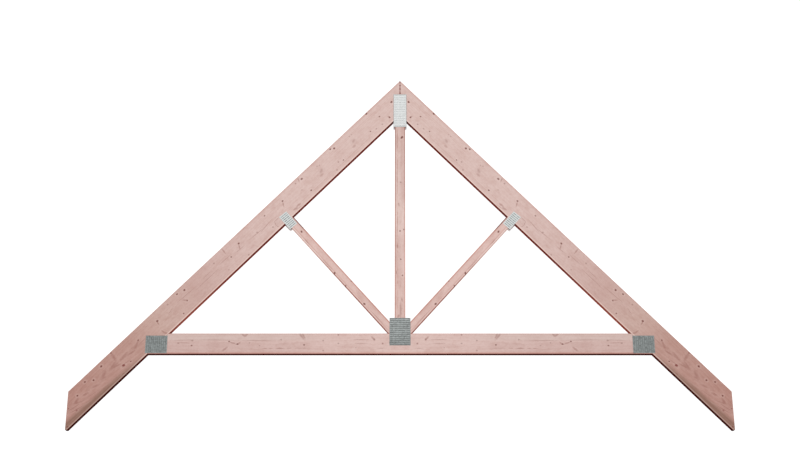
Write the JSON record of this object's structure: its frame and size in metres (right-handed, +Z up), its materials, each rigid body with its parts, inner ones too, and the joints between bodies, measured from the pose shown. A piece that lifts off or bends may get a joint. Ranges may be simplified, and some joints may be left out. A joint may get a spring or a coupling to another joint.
{
  "type": "roof truss",
  "caption": "King post timber roof truss with struts, overhanging rafters and punched nail plates, lying flat.",
  "frame": {"origin": "on the floor, below the middle of the outline of the truss as it lies flat", "axes": "+X along the bottom chord, +Y from the chord towards the ridge, +Z up through the thickness"},
  "size_m": [4.6, 2.6483, 0.05],
  "materials": {
    "timber": "matte",
    "bright_zinc": "satin",
    "dull_zinc": "matte"
  },
  "bodies": {
    "root": {"rafter_left": "timber", "rafter_right": "timber", "bottom_chord": "timber", "king_post": "timber", "strut_left": "timber", "strut_right": "timber", "apex_plate_front": "bright_zinc", "apex_plate_back": "bright_zinc", "strut_plate_left_front": "bright_zinc", "strut_plate_left_back": "bright_zinc", "strut_plate_right_front": "bright_zinc", "strut_plate_right_back": "bright_zinc", "centre_plate_front": "dull_zinc", "centre_plate_back": "dull_zinc", "heel_plate_left_front": "dull_zinc", "heel_plate_left_back": "dull_zinc", "heel_plate_right_front": "dull_zinc", "heel_plate_right_back": "dull_zinc"}
  },
  "joints": []
}
